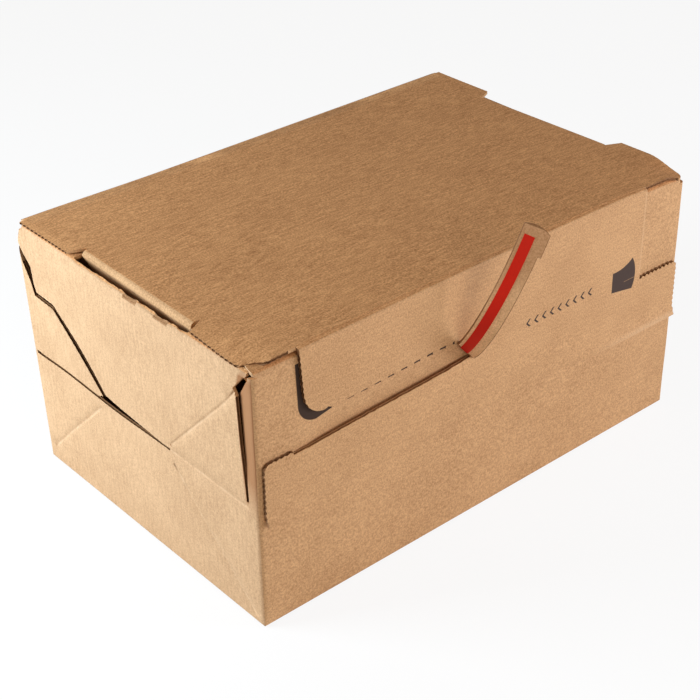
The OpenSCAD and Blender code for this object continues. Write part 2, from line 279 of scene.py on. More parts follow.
# cuts a raw edge into half flutes, waves its outline, and opens it between the liners
def openRawEdge(bm, edge):
    axis = edge["axis"]
    faces = [f for f in bm.faces if f.material_index != slotOf["edge"] and edge["pick"](mid(f), f.normal)]
    if not faces:
        return 0
    reach = [v.co[axis] for f in faces for v in f.verts]
    faces = cutRows(bm, faces, axis, stepMarks(min(reach), max(reach), flutes["step"]))
    bm.normal_update()
    for face in faces:
        face.material_index = slotOf["edge"]
    shifts = waveEdge(faces, edge)
    fluted = edge["cut"] == "flutes"
    cells = splitFlutes(faces, axis) if fluted else faces
    for v, shift in shifts.items():
        v.co += shift
    bm.normal_update()
    if fluted:
        bmesh.ops.inset_individual(bm, faces=cells, thickness=flutes["cellRim"], use_even_offset=False)
        bmesh.ops.inset_individual(bm, faces=cells, thickness=flutes["cellTaper"],
                                   depth=-edge.get("depth", flutes["cellDepth"]), use_even_offset=False)
    else:
        rim = bmesh.ops.inset_region(bm, faces=cells, thickness=edge.get("liner", flutes["grooveRim"]),
                                     use_even_offset=False, use_boundary=True)["faces"]
        for face in rim:
            face.material_index = slotOf[edge.get("rim", "edge")]
        bmesh.ops.inset_region(bm, faces=cells, thickness=flutes["grooveTaper"],
                               depth=-edge.get("depth", flutes["grooveDepth"]),
                               use_even_offset=False, use_boundary=True)
    return len(cells)


# the used box has bent away from the flat sheet: each function below gives the shift of a point of one part
# u runs from the left end, v from the front wall back, z from the floor; spans run from no shift to all of it
partAt = {"lidSkin": 0.3, "foldBack": 1.0, "foldFoot": 150.4, "flapBack": -0.2, "flapTop": 150.6,
          "wallBack": 2.2, "wallTop": 148}


def partsAt(u, v, z):
    parts = set()
    if z > board["lidUnder"] - partAt["lidSkin"]:
        parts.add("lid")
    if v < partAt["foldBack"] and z > partAt["foldFoot"] and u < board["neckRight"] - board["left"] + 0.5:
        parts.add("fold")    # the rounded fold between the lid and the flap
    if v < partAt["flapBack"] and z < partAt["flapTop"]:
        parts.add("flap")
    if partAt["flapBack"] <= v < partAt["wallBack"] and z < partAt["wallTop"]:
        parts.add("wall")
    return parts


# the lid: crowned along its front, hanging at both front corners, its left edge crushed thin
lidBend = {"left": 0.9, "middle": 2.9, "right": 1.6, "rear": -1.1, "flapCrown": (120, 150),
           "edgeDroop": 1.1, "edgeSpan": (250, 275), "cornerDroop": 4.1, "cornerSpan": (288, 304),
           "cornerReach": (26, 0), "flapDroop": (125, 150), "leftDroop": 3.0, "leftSpan": (16, 0),
           "leftReach": (58, 12), "crush": 0.55, "crushSpan": (6, 0), "crushSkin": 0.4, "round": 15,
           "roundSkin": 0.05}


def crownAt(u):
    share = u / boxLength
    level = (lidBend["left"] + lidBend["right"]) / 2
    slope = (lidBend["right"] - lidBend["left"]) * share
    return lidBend["left"] + slope + (lidBend["middle"] - level) * math.sin(math.pi * share)


# how far the right front corner hangs, mostly in its last few millimetres
def cornerDrop(u):
    edge = lidBend["edgeDroop"] * ramp(u, lidBend["edgeSpan"])
    return edge + lidBend["cornerDroop"] * ramp(u, lidBend["cornerSpan"])


def bendLid(u, v, z, parts):
    d = Vector((0, 0, 0))
    if parts & {"lid", "fold"}:
        back = ramp(v, (0, boxDepth))
        d.z += crownAt(u) * (1 - back) + lidBend["rear"] * back
        d.z -= cornerDrop(u) * ramp(v, lidBend["cornerReach"])
        d.z -= lidBend["leftDroop"] * ramp(v, lidBend["leftReach"]) * ramp(u, lidBend["leftSpan"])
    elif "flap" in parts:
        d.z += crownAt(u) * ramp(z, lidBend["flapCrown"])
        d.z -= cornerDrop(u) * ramp(z, lidBend["flapDroop"])
    if "lid" in parts and z > board["lidTop"] - lidBend["crushSkin"]:
        d.z -= lidBend["crush"] * ramp(u, lidBend["crushSpan"])
    du, dv = u - lidBend["round"], v - lidBend["round"]
    if z > board["lidUnder"] - lidBend["roundSkin"] and du < 0 and dv < 0:    # its rounded corner
        pull = 1 - max(abs(du), abs(dv)) / math.hypot(du, dv)
        d.x -= du * pull
        d.y -= dv * pull
    return d


# the fold between the lid and the flap is pressed to a tighter corner than an arc
foldBend = {"centre": (0.8, 150.5), "radius": 3, "skin": 0.9, "power": 5}


def bendFold(u, v, z, parts):
    d = Vector((0, 0, 0))
    radius, power = foldBend["radius"], foldBend["power"]
    out = (foldBend["centre"][0] - v) / radius
    up = (z - foldBend["centre"][1]) / radius
    if out > 0 and up > 0 and math.hypot(out, up) > foldBend["skin"]:
        tight = math.hypot(out, up) / (out ** power + up ** power) ** (1 / power) - 1
        d.y = -radius * out * tight
        d.z = radius * up * tight
    return d


# the left tuck tab leans towards the end wall, more at its front, and is pushed in below its fold
tabBend = {"half": 48.3, "width": 96, "skin": (6.9, 8.9), "low": 118, "foldReach": (6.9, 40),
           "foldLow": 150.3, "hold": (32, 10), "lean": (0.9, 2.3), "down": 0.9, "downSpan": (130, 150),
           "tuck": 6.0, "tuckSpan": (150.4, 137.4), "faceX": (-147, -142), "faceHalf": 48.5}


def bendTab(u, v, z, parts):
    d = Vector((0, 0, 0))
    y = v + board["front"]
    onFace = within(u, tabBend["skin"]) and z > tabBend["low"]
    onFold = within(u, tabBend["foldReach"]) and z > tabBend["foldLow"]
    if abs(y) < tabBend["half"] and (onFace or onFold):
        near = 0.5 - y / tabBend["width"]
        hold = ramp(u, tabBend["hold"])
        rear, front = tabBend["lean"]
        d.x = tabBend["tuck"] * ramp(z, tabBend["tuckSpan"]) - hold * (rear + (front - rear) * near)
        d.z = -hold * tabBend["down"] * near * ramp(z, tabBend["downSpan"])
    return d


# the rear wall leans out at its left end, and the lid's rear fold keeps with it
rearBend = {"start": -1.5, "lean": 0.05, "side": (94, 4), "wall": 196, "top": 151.5, "tuck": 4,
            "tuckSpan": (138, 150), "fold": 2.05, "foldReach": (180, 198)}


def leanAt(z):
    return rearBend["start"] + rearBend["lean"] * z


def bendRear(u, v, z, parts):
    d = Vector((0, 0, 0))
    side = ramp(u, rearBend["side"])
    if z >= rearBend["top"]:
        d.y = side * rearBend["fold"] * ramp(v, rearBend["foldReach"])
    elif v > rearBend["wall"]:
        d.y = side * (leanAt(z) - rearBend["tuck"] * ramp(z, rearBend["tuckSpan"]))
    return d


# the end walls bow and wave; the left one leans with the rear wall, and its top stands up to the lid
endBend = {"skin": 2.5, "top": 146, "front": 3, "leanReach": (120, 201), "bow": 0.9, "bowTop": 71.5,
           "wave": 0.7, "waveScale": (0.01, 0.021, 0.027), "border": 18, "rise": 1.1, "riseSpan": (138, 146),
           "riseSide": (26, 6), "riseTop": 149.4, "riseReach": (3, 198.5)}


def bendEnd(u, v, z, parts):
    d = Vector((0, 0, 0))
    onLeft = u < boxLength / 2
    upright = z < endBend["top"] and endBend["front"] < v <= rearBend["wall"]
    if upright and min(u, boxLength - u) < endBend["skin"]:
        bow = 0
        if z < endBend["bowTop"]:
            bow = endBend["bow"] * math.sin(math.pi * v / boxDepth)
            bow *= math.sin(math.pi * z / endBend["bowTop"])
        scaleU, scaleV, scaleZ = endBend["waveScale"]
        bow += endBend["wave"] * noise.noise((v * scaleV, z * scaleZ, 5.3 + u * scaleU))
        bow *= max(0, min(1, min(v, boxDepth - v, z) / endBend["border"]))
        d.x = -bow if onLeft else bow
        if onLeft:
            d.y = leanAt(z) * ramp(v, endBend["leanReach"])
    if within(v, endBend["riseReach"]) and z < endBend["riseTop"]:
        d.z = endBend["rise"] * ramp(z, endBend["riseSpan"]) * ramp(u, endBend["riseSide"])
    return d


# the upright slit opens towards its top, and the strip of wall in front of it sinks in and runs on behind
slitBend = {"skin": 2.6, "reach": 24, "height": (72, 146), "foot": (8, 74.7), "head": (10, 133.6),
            "open": 1.7, "openSpan": (74, 122), "openReach": (13, 1), "sink": 2.6, "slide": 3.6,
            "sinkFrom": 1.5, "sinkOver": 7, "sinkSpan": (73, 101)}


def bendSlit(u, v, z, parts):
    d = Vector((0, 0, 0))
    if u < slitBend["skin"] and v < slitBend["reach"] and within(z, slitBend["height"]):
        (footV, footZ), (headV, headZ) = slitBend["foot"], slitBend["head"]
        past = v - footV - (headV - footV) * (z - footZ) / (headZ - footZ)
        if past > 0:
            d.y = slitBend["open"] * ramp(z, slitBend["openSpan"]) * ramp(past, slitBend["openReach"])
        else:
            sink = min(1, max(0, v - slitBend["sinkFrom"]) / slitBend["sinkOver"])
            sink *= ramp(z, slitBend["sinkSpan"])
            d.x = slitBend["sink"] * sink
            d.y = slitBend["slide"] * sink
    return d


# the ends of the dust flaps meet at the left front corner, above the slit
cornerBend = {"side": 4.6, "depth": 7.2, "low": 145, "shutSide": 2.2, "shutLow": 148.5,
              "shutSpan": (3.2, 3.9), "shutFront": 2.6, "frontReach": (6.4, 6.9), "frontSpan": (145.5, 147)}


def bendCorner(u, v, z, parts):
    d = Vector((0, 0, 0))
    if u < cornerBend["side"] and v < cornerBend["depth"] and z > cornerBend["low"]:
        if z > cornerBend["shutLow"]:
            d.x = -cornerBend["shutSide"] * ramp(u, cornerBend["shutSpan"])
        if u < cornerBend["shutSpan"][0]:
            shut = ramp(v, cornerBend["frontReach"]) * ramp(z, cornerBend["frontSpan"])
            d.y = -cornerBend["shutFront"] * shut
    return d


# the slanting gap of the left end is wider at its middle, and the level one behind it stands open
gapBend = {"skin": 2.6, "low": 72, "start": (29, 110.5), "slant": (0.762, 0.648), "length": 57.7, "open": 1.3,
           "reach": (7.6, 1.6), "level": (71.4, 74), "levelFrom": 124, "levelOpen": 0.6}


def bendGap(u, v, z, parts):
    d = Vector((0, 0, 0))
    if u >= gapBend["skin"]:
        return d
    if within(z, gapBend["level"]) and v > gapBend["levelFrom"]:
        d.z += gapBend["levelOpen"]
    along, across = gapBend["slant"]
    w = boxDepth - v - gapBend["start"][0]
    h = z - gapBend["start"][1]
    run = w * along - h * across
    off = w * across + h * along
    if z > gapBend["low"] and off > 0 and 0 < run < gapBend["length"]:
        push = gapBend["open"] * ramp(off, gapBend["reach"]) * math.sin(math.pi * run / gapBend["length"])
        d.y -= across * push
        d.z += along * push
    return d


# the closing flap: the neck leans and sags, the torn edge is pressed flat, the lip and the shoulder gape
flapBend = {"neckLow": board["tearTop"] - 1, "neckSpan": (52, 26), "neckLean": -1.4, "neckTurn": 2.2,
            "neckTop": 152, "neckTall": 26, "sag": 1.7, "sagHeight": (128, 116), "sagStart": (43, 47),
            "sagEnd": (128, 46), "press": 0.9, "pressHeight": (board["tearTop"] + 5, board["tearTop"]),
            "pressFrom": 42, "pressEnd": (128, 118), "pressSkin": -2.0, "lip": 0.9, "lipTop": 106,
            "lipHeight": (88, 101), "lipStart": (19, 33), "lipEnd": (138, 118), "gape": 0.9, "gapeFrom": 268,
            "gapeRows": (97, 101), "gapeHeight": (97, 100)}


def bendFlap(u, v, z, parts):
    d = Vector((0, 0, 0))
    if parts & {"flap", "fold"} and z > flapBend["neckLow"]:
        turn = min(1, max(0, (flapBend["neckTop"] - z) / flapBend["neckTall"]))
        d.x += ramp(u, flapBend["neckSpan"]) * (flapBend["neckLean"] + flapBend["neckTurn"] * turn)
        sag = ramp(u, flapBend["sagStart"]) * ramp(u, flapBend["sagEnd"])
        d.z -= flapBend["sag"] * sag * ramp(z, flapBend["sagHeight"])
        if v < flapBend["pressSkin"] and u > flapBend["pressFrom"]:
            d.y += flapBend["press"] * ramp(z, flapBend["pressHeight"]) * ramp(u, flapBend["pressEnd"])
    if "flap" in parts and z < flapBend["lipTop"]:
        lip = ramp(u, flapBend["lipStart"]) * ramp(u, flapBend["lipEnd"])
        d.y -= flapBend["lip"] * lip * ramp(z, flapBend["lipHeight"])
    if "flap" in parts and u > flapBend["gapeFrom"] and within(z, flapBend["gapeRows"]):
        d.z -= flapBend["gape"] * ramp(z, flapBend["gapeHeight"])
    return d


# the flap's lower edge lies flat on the wall at the left and stands off at the right
footBend = {"top": 94, "flatStart": (5, 35), "flatEnd": (245, 205), "hollow": 1.4, "hollowHeight": (92, 66),
            "thin": 0.7, "backThin": 0.34, "thinHeight": (67.5, 64), "back": -0.4, "thick": 1.8, "lift": 1.7,
            "liftHeight": (board["footLow"] + 7, board["footLow"])}


def bendFoot(u, v, z, parts):
    d = Vector((0, 0, 0))
    if "flap" in parts and z < footBend["top"]:
        flat = ramp(u, footBend["flatStart"]) * ramp(u, footBend["flatEnd"])
        thin = ramp(z, footBend["thinHeight"])
        inner = footBend["backThin"] * thin
        outer = footBend["hollow"] * ramp(z, footBend["hollowHeight"]) + footBend["thin"] * thin
        d.y += flat * (inner + (outer - inner) * min(1, (footBend["back"] - v) / footBend["thick"]))
        d.y -= footBend["lift"] * ramp(z, footBend["liftHeight"]) * (1 - flat)
    return d


# the front wall: dented behind the torn band, low under the lid's right corner, and waved with the flap
wallBend = {"dent": 1.5, "dentFoot": (93, 100), "dentHead": (115, 101), "dentStart": (22, 52),
            "dentEnd": (144, 132), "droop": 1.3, "droopSpan": (280, 305), "droopReach": (26, 2),
            "droopHeight": (136, 148), "wave": 0.35, "waveScale": (0.013, 0.03), "waveTop": 150, "border": 20}


def bendWall(u, v, z, parts):
    d = Vector((0, 0, 0))
    if "wall" in parts:
        rows = ramp(z, wallBend["dentFoot"]) * ramp(z, wallBend["dentHead"])
        d.y += wallBend["dent"] * rows * ramp(u, wallBend["dentStart"]) * ramp(u, wallBend["dentEnd"])
    if not parts & {"lid", "fold", "flap"}:
        corner = ramp(u, wallBend["droopSpan"]) * ramp(v, wallBend["droopReach"])
        d.z -= wallBend["droop"] * corner * ramp(z, wallBend["droopHeight"])
    if parts & {"flap", "wall"} and z < wallBend["waveTop"]:
        scaleX, scaleZ = wallBend["waveScale"]
        wave = wallBend["wave"] * noise.noise(((u + board["left"]) * scaleX, 2.7, z * scaleZ))
        d.y += wave * min(1, min(z, wallBend["waveTop"] - z) / wallBend["border"])
    return d


bends = [bendLid, bendFold, bendTab, bendRear, bendEnd, bendSlit, bendCorner, bendGap, bendFlap, bendFoot,
         bendWall]
curlFrom = -2.6    # the torn-off end stands in front of this and keeps its own curl


def bentBy(p):
    u, v, z = p.x - board["left"], p.y - board["front"], p.z
    d = Vector((0, 0, 0))
    if v < curlFrom:
        return d
    parts = partsAt(u, v, z)
    for bend in bends:
        d += bend(u, v, z, parts)
    return d


# the raw top of the left end wall beside its tab is frayed, with two patches where the liner is torn off
torn = {"patches": [(97.5, 108, 0.5), (123, 134.5, 0.6)], "patchSide": 1.5, "lean": 0.4, "sink": -0.5,
        "coarse": 0.6, "fine": 0.4, "lip": (146, 149.6), "lipFace": -150.6, "rise": (147, 148.2),
        "half": 49.6, "fade": (49.6, 44.6), "cutHalf": 49}


def isTabLip(c):
    return within(c.z, torn["lip"]) and c.x < torn["lipFace"] and abs(c.y) < torn["half"]


def frayedBy(p):
    if not (isTabLip(p) and p.z > torn["rise"][0]):
        return Vector((0, 0, 0))
    u = board["rear"] - p.y
    rise = torn["sink"] + torn["coarse"] * noise.noise((p.y * 0.45, 8.2, p.x))
    rise += torn["fine"] * noise.noise((p.y * 1.3, 1.7, p.x))
    for low, high, deep in torn["patches"]:
        rise -= deep * ramp(u, (low, low + torn["patchSide"])) * ramp(u, (high, high - torn["patchSide"]))
    lean = torn["lean"] * noise.noise((p.y * 0.3, 4.4, 0.5))
    return ramp(abs(p.y), torn["fade"]) * Vector((lean, 0, rise * ramp(p.z, torn["rise"])))


def tearLip(bm):
    lip = [f for f in bm.faces if isTabLip(mid(f))]
    for face in cutRows(bm, lip, 1, stepMarks(-torn["cutHalf"], torn["cutHalf"], flutes["step"])):
        u = board["rear"] - mid(face).y
        if any(low < u < high for low, high, deep in torn["patches"]):
            face.material_index = slotOf["torn"]


# the torn-off end: its root, its direction, the way across it and the side that carries the tape
strip = {"root": (-17, -102.7, 109.6), "along": (0.537, 0, 0.843), "across": (-0.607, 0.695, 0.386),
         "face": (-0.586, -0.719, 0.373), "tipStart": 70.8, "tipArea": 30, "rim": 0.3, "off": 0.5}


def choosePanel(face):
    n, c = face.normal, mid(face)
    if c.y < board["flapFace"] - strip["off"]:
        atTip = (c - Vector(strip["root"])).dot(Vector(strip["along"])) > strip["tipStart"]
        cut = abs(n.dot(Vector(strip["across"]))) > 0.85
        return "edge" if cut or (atTip and face.calc_area() < strip["tipArea"]) else "strip"
    onTab = within(c.x, tabBend["faceX"]) and abs(c.y) < tabBend["faceHalf"] and c.z > tabBend["low"]
    # the tab's face takes the front's warmer tint, as painted light
    if onTab and n.x < -0.3:
        return "front"    # the face of the left tuck tab
    # the fold's steeper faces take the front's tint, painted shade across the fold
    if c.y < board["front"] + 0.3 and c.z > 150 and n.z < 0.75:
        return "front"    # the fold of the flap
    # every other face takes the painted light and shade of the panel it faces most like
    size = [abs(a) for a in n]
    return ("end", "front", "lid")[size.index(max(size))]


# where the sheet is cut finer so that it can bend
rows = {"wideArea": 150, "wideEdge": 20, "fluteCount": 6, "x": (-152, 152), "y": (-100, 100), "z": (4, 150),
        "cornerFrom": (108, -78, 125), "cornerX": [131, 135, 143, 146, 150], "cornerY": range(-97, -81, 3),
        "frontBack": -98, "bandReach": (85, 125), "footTop": 78, "footBack": -100.7,
        "band": [93, 96, 97.5, 100.5, 102, 103.5, 105.5, 107.5, 110.5, 113, 116.8, 120],
        "foot": [64.8, 66, 67.5, 70.5]}


def isWide(face):
    return face.calc_area() > rows["wideArea"] or max(e.calc_length() for e in face.edges) > rows["wideEdge"]


def cutSheet(bm):
    wide = [f for f in bm.faces if isWide(f)]
    for axis, name in enumerate("xyz"):
        wide = cutRows(bm, wide, axis, stepMarks(*rows[name], flutes["step"] * rows["fluteCount"]))
    x, y, z = rows["cornerFrom"]
    corner = [f for f in wide if f.is_valid and mid(f).x > x and mid(f).y < y and mid(f).z > z]
    corner = cutRows(bm, corner, 0, rows["cornerX"])
    wide += cutRows(bm, corner, 1, rows["cornerY"])
    fronts = [f for f in wide if f.is_valid and abs(f.normal.y) > 0.9 and mid(f).y < rows["frontBack"]]
    cutRows(bm, [f for f in fronts if within(mid(f).z, rows["bandReach"])], 2, rows["band"])
    foot = [f for f in fronts if f.is_valid and mid(f).z < rows["footTop"] and mid(f).y < rows["footBack"]]
    cutRows(bm, foot, 2, rows["foot"])
    print("carton sheet cut into", len(bm.faces), "faces")


def makeCarton():
    bm = cadCopy("carton")
    bm.normal_update()
    sheetPoint = bm.verts.layers.float_vector.new("sheetPoint")
    for face in bm.faces:
        face.material_index = slotOf[choosePanel(face)]
    # a thin rim of the strip's face on the tape side takes the dark edge colour: painted shade along its cut
    # edges
    taped = Vector(strip["face"])
    bare = [f for f in bm.faces if f.material_index == slotOf["strip"] and f.normal.dot(taped) > 0.3]
    for rim in bmesh.ops.inset_region(bm, faces=bare, thickness=strip["rim"], use_boundary=True)["faces"]:
        rim.material_index = slotOf["edge"]
    cutSheet(bm)
    for edge in rawEdges:
        print(edge["pick"].__name__, openRawEdge(bm, edge), "cells")
    tearLip(bm)
    for vert in bm.verts:
        vert[sheetPoint] = vert.co
    for vert in bm.verts:
        vert.co += bentBy(vert.co) + frayedBy(vert.co)
    bmesh.ops.scale(bm, vec=(mm,) * 3, verts=bm.verts)
    return bm


def finishPiece(bm, name, materials, sharp=32):
    mesh = bpy.data.meshes.new(name)
    bm.to_mesh(mesh)
    bm.free()
    for mat in materials:
        mesh.materials.append(mat)
    mesh.shade_smooth()
    mesh.set_sharp_from_angle(angle=math.radians(sharp))
    piece = bpy.data.objects.new(name, mesh)
    scene.collection.objects.link(piece)
    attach(piece, "root")
    print(name, len(mesh.polygons), "faces")
    return piece


# node helpers: a number or a socket may go into any input
def addNode(tree, kind, inputs=None, **settings):
    node = tree.nodes.new(kind)
    for key, value in settings.items():
        setattr(node, key, value)
    for key, value in (inputs or {}).items():
        if isinstance(value, bpy.types.NodeSocket):
            tree.links.new(value, node.inputs[key])
        else:
            node.inputs[key].default_value = value
    return node


def calc(tree, operation, a, b=0.0, c=0.0, clamp=False):
    node = addNode(tree, "ShaderNodeMath", {0: a, 1: b, 2: c}, operation=operation, use_clamp=clamp)
    return node.outputs[0]


def minus(tree, a, b):
    return calc(tree, "SUBTRACT", a, b)


def times(tree, a, b):
    return calc(tree, "MULTIPLY", a, b)


# 1 where a is more than b, with a narrow soft border, in millimetres
def over(tree, a, b, soft=0.15):
    return calc(tree, "MULTIPLY_ADD", minus(tree, a, b), 1 / soft, 0.5, clamp=True)


def allOf(tree, *masks):
    out = masks[0]
    for mask in masks[1:]:
        out = times(tree, out, mask)
    return out


def hypot(tree, a, b):
    return calc(tree, "SQRT", calc(tree, "MULTIPLY_ADD", a, a, times(tree, b, b)))


def mixColour(tree, factor, a, b, blend="MIX"):
    node = addNode(tree, "ShaderNodeMix", {0: factor, 6: a, 7: b}, data_type="RGBA", blend_type=blend)
    return node.outputs[2]


def mottle(tree, point, scale, detail, roughness=0.5):
    node = addNode(tree, "ShaderNodeTexNoise", {"Vector": point, "Scale": scale, "Detail": detail,
                                                "Roughness": roughness})
    return node.outputs[0]


def remap(tree, value, low, high, toLow, toHigh):
    return addNode(tree, "ShaderNodeMapRange", {0: value, 1: low, 2: high, 3: toLow, 4: toHigh}).outputs[0]


def splitPoint(tree, point):
    return addNode(tree, "ShaderNodeSeparateXYZ", {0: point}).outputs


def newGroup(name, inputs, outputs):
    tree = bpy.data.node_groups.new(name, "ShaderNodeTree")
    for inOut, sockets in (("INPUT", inputs), ("OUTPUT", outputs)):
        for label, kind in sockets.items():
            tree.interface.new_socket(label, in_out=inOut, socket_type="NodeSocket" + kind)
    return tree, tree.nodes.new("NodeGroupInput").outputs, tree.nodes.new("NodeGroupOutput").inputs


# kraft liner: pulp grain, streaks along the flutes, soft clouds and dark flecks, and faint stripes across
# the flutes that are painted shade of their ripple
kraft = {"light": (0.80, 0.495, 0.262, 1), "dark": (0.36, 0.185, 0.080, 1), "fleck": (0.19, 0.095, 0.042, 1),
         "cloud": 0.40, "cloudScale": 0.035, "grainScale": 1.15, "streakScale": (0.62, 0.10),
         "washboard": 0.018, "fleckScale": 1.5, "fleckFrom": (0.70, 0.80), "fleckMost": 0.45,
         "roughness": (0.70, 0.16), "washHeight": 0.30, "streakHeight": 0.7, "grainHeight": 0.9,
         "relief": 0.00012, "specular": 0.2}


def makeKraftGroup():
    tree, source, sink = newGroup("kraftLiner", {
        "Point": "Vector", "Across": "Float", "Along": "Float", "Tint": "Color", "Grain": "Float",
        "Streak": "Float"}, {"Colour": "Color", "Roughness": "Float", "Height": "Float"})
    point, across, along = source["Point"], source["Across"], source["Along"]
    cloud = mottle(tree, point, kraft["cloudScale"], 4, 0.55)
    grain = mottle(tree, point, kraft["grainScale"], 2)
    scaleAcross, scaleAlong = kraft["streakScale"]
    drawn = addNode(tree, "ShaderNodeCombineXYZ", {0: times(tree, across, scaleAcross),
                                                   1: times(tree, along, scaleAlong)})
    streak = mottle(tree, drawn.outputs[0], 1.0, 3, 0.6)
    washboard = calc(tree, "SINE", times(tree, across, math.tau / (2 * flutes["step"])))
    # the flutes' ripple also shades the tone: painted shade, besides the relief below
    tone = calc(tree, "MULTIPLY_ADD", washboard, kraft["washboard"], 0.5)
    for value, weight in ((grain, source["Grain"]), (streak, source["Streak"]), (cloud, kraft["cloud"])):
        tone = calc(tree, "MULTIPLY_ADD", minus(tree, value, 0.5), weight, tone)
    shade = calc(tree, "MAXIMUM", calc(tree, "MINIMUM", tone, 1.0), 0.0)
    colour = mixColour(tree, shade, kraft["dark"], kraft["light"])
    flecks = mottle(tree, point, kraft["fleckScale"], 1)
    flecks = remap(tree, flecks, *kraft["fleckFrom"], 0.0, kraft["fleckMost"])
    colour = mixColour(tree, flecks, colour, kraft["fleck"])
    tree.links.new(mixColour(tree, 1.0, colour, source["Tint"], "MULTIPLY"), sink["Colour"])
    smoothest, spread = kraft["roughness"]
    tree.links.new(calc(tree, "MULTIPLY_ADD", grain, spread, smoothest), sink["Roughness"])
    height = times(tree, streak, kraft["streakHeight"])
    height = calc(tree, "MULTIPLY_ADD", washboard, kraft["washHeight"], height)
    tree.links.new(calc(tree, "MULTIPLY_ADD", grain, kraft["grainHeight"], height), sink["Height"])
    return tree


# printed marks and painted shade of the perforation slits on the front, in millimetres from the left end
# and from the floor
ink = {"colour": (0.045, 0.025, 0.017, 1), "pullColour": (0.036, 0.025, 0.026, 1), "pullStrength": 0.95,
       "wall": (-100.7, -97.0), "flap": -102.4}
hookMark = {"centre": (37.5, 121.7), "lean": 0.042, "outer": 11.1, "inner": 5.0, "top": 146, "end": 47.0,
            "taper": 0.19}
dashMark = {"start": 47.0, "first": 8.0, "end": 126.5, "pitch": 8.7, "length": 4.1, "run": 80,
            "tall": (0.55, 2.4), "below": 0.3}
pullMark = {"left": 246.6, "low": ((246.6, 98.6), (263.6, 95.6)),
            "right": ((263.6, 95.6), (265.6, 105), (262.4, 115.4)),
            "top": ((246.6, 111.0), (257.0, 112.4), (262.4, 115.4)),
            "scratchZ": 102.2, "scratchFrom": 256.5, "scratchHalf": 0.22, "scratch": 0.35}
arrowMark = {"left": 178, "right": 232, "z": 106.6, "pitch": 6.0, "inset": 1.2, "half": 2.3, "stroke": 0.7}
wearAndHighlightMark = {"rimTop": 66.6, "rimFrom": 252, "rim": 0.22, "neckFrom": 268.9, "neckLow": board["shoulder"] + 4,
            "neckEnd": board["neckRight"] - board["left"] + 0.5, "neck": 0.22}


# the hook beside the neck
def hookMask(tree, u, z):
    centreU, centreZ = hookMark["centre"]
    leaned = calc(tree, "MULTIPLY_ADD", minus(tree, z, centreZ), hookMark["lean"], u)
    side = calc(tree, "MAXIMUM", minus(tree, centreU, leaned), 0.0)
    down = calc(tree, "MAXIMUM", minus(tree, centreZ, z), 0.0)
    ring = hypot(tree, side, down)
    past = calc(tree, "MAXIMUM", minus(tree, u, centreU), 0.0)
    outer = calc(tree, "MULTIPLY_ADD", past, -hookMark["taper"], hookMark["outer"])
    return allOf(tree, over(tree, outer, ring, 0.3), over(tree, ring, hookMark["inner"]),
                 over(tree, hookMark["top"], z), over(tree, hookMark["end"], u))


# painted shade of the perforation slits: dark dashes, taller towards the root
def dashMask(tree, u, z):
    along = minus(tree, u, dashMark["start"])
    low, high = dashMark["tall"]
    tall = calc(tree, "MULTIPLY_ADD", along, (high - low) / dashMark["run"], low)
    step = calc(tree, "MODULO", along, dashMark["pitch"])
    return allOf(tree, over(tree, dashMark["length"], step, 0.4),
                 calc(tree, "GREATER_THAN", along, dashMark["first"]),
                 calc(tree, "LESS_THAN", u, dashMark["end"]),
                 over(tree, tall, minus(tree, z, board["tearTop"]), 0.3),
                 calc(tree, "GREATER_THAN", z, board["tearTop"] - dashMark["below"]))


def circleThrough(p, q, r):
    ax, ay, bx, by = q[0] - p[0], q[1] - p[1], r[0] - p[0], r[1] - p[1]
    d = 2 * (ax * by - ay * bx)
    a, b = ax * ax + ay * ay, bx * bx + by * by
    ux, uy = (by * a - ay * b) / d, (ax * b - bx * a) / d
    return p[0] + ux, p[1] + uy, math.hypot(ux, uy)


# the dark pull mark between two arcs, with a pale scratch where the tear line crosses it
def pullMask(tree, u, z):
    (u0, z0), (u1, z1) = pullMark["low"]
    lowLine = minus(tree, minus(tree, z, z0), times(tree, minus(tree, u, u0), (z1 - z0) / (u1 - u0)))
    rightU, rightZ, rightR = circleThrough(*pullMark["right"])
    topU, topZ, topR = circleThrough(*pullMark["top"])
    fromRight = hypot(tree, minus(tree, u, rightU), minus(tree, z, rightZ))
    fromTop = hypot(tree, minus(tree, u, topU), minus(tree, z, topZ))
    offScratch = calc(tree, "ABSOLUTE", minus(tree, z, pullMark["scratchZ"]))
    scratch = allOf(tree, over(tree, pullMark["scratchHalf"], offScratch),
                    calc(tree, "GREATER_THAN", u, pullMark["scratchFrom"]))
    return allOf(tree, over(tree, u, pullMark["left"]), over(tree, lowLine, 0.0),
                 over(tree, rightR, fromRight), over(tree, fromTop, topR),
                 calc(tree, "MULTIPLY_ADD", scratch, -pullMark["scratch"], 1.0))


# a row of small arrow heads that point along the strip
def arrowMask(tree, u, z):
    cell = calc(tree, "MODULO", minus(tree, u, arrowMark["left"]), arrowMark["pitch"])
    level = calc(tree, "ABSOLUTE", minus(tree, z, arrowMark["z"]))
    stroke = calc(tree, "ABSOLUTE", minus(tree, minus(tree, cell, arrowMark["inset"]), level))
    return allOf(tree, over(tree, arrowMark["stroke"], stroke), over(tree, arrowMark["half"], level),
                 calc(tree, "GREATER_THAN", u, arrowMark["left"]),
                 calc(tree, "LESS_THAN", u, arrowMark["right"]))


# pale along the lower right rim and along the right edge of the neck: worn liner, and painted highlight
# where these edges catch the light
def wearAndHighlightMask(tree, u, z):
    rim = allOf(tree, over(tree, wearAndHighlightMark["rimTop"], z, 2.5), over(tree, u, wearAndHighlightMark["rimFrom"], 40))
    neck = allOf(tree, over(tree, u, wearAndHighlightMark["neckFrom"], 0.5), over(tree, z, wearAndHighlightMark["neckLow"], 4),
                 calc(tree, "LESS_THAN", u, wearAndHighlightMark["neckEnd"]))
    return calc(tree, "MAXIMUM", times(tree, rim, wearAndHighlightMark["rim"]), times(tree, neck, wearAndHighlightMark["neck"]))


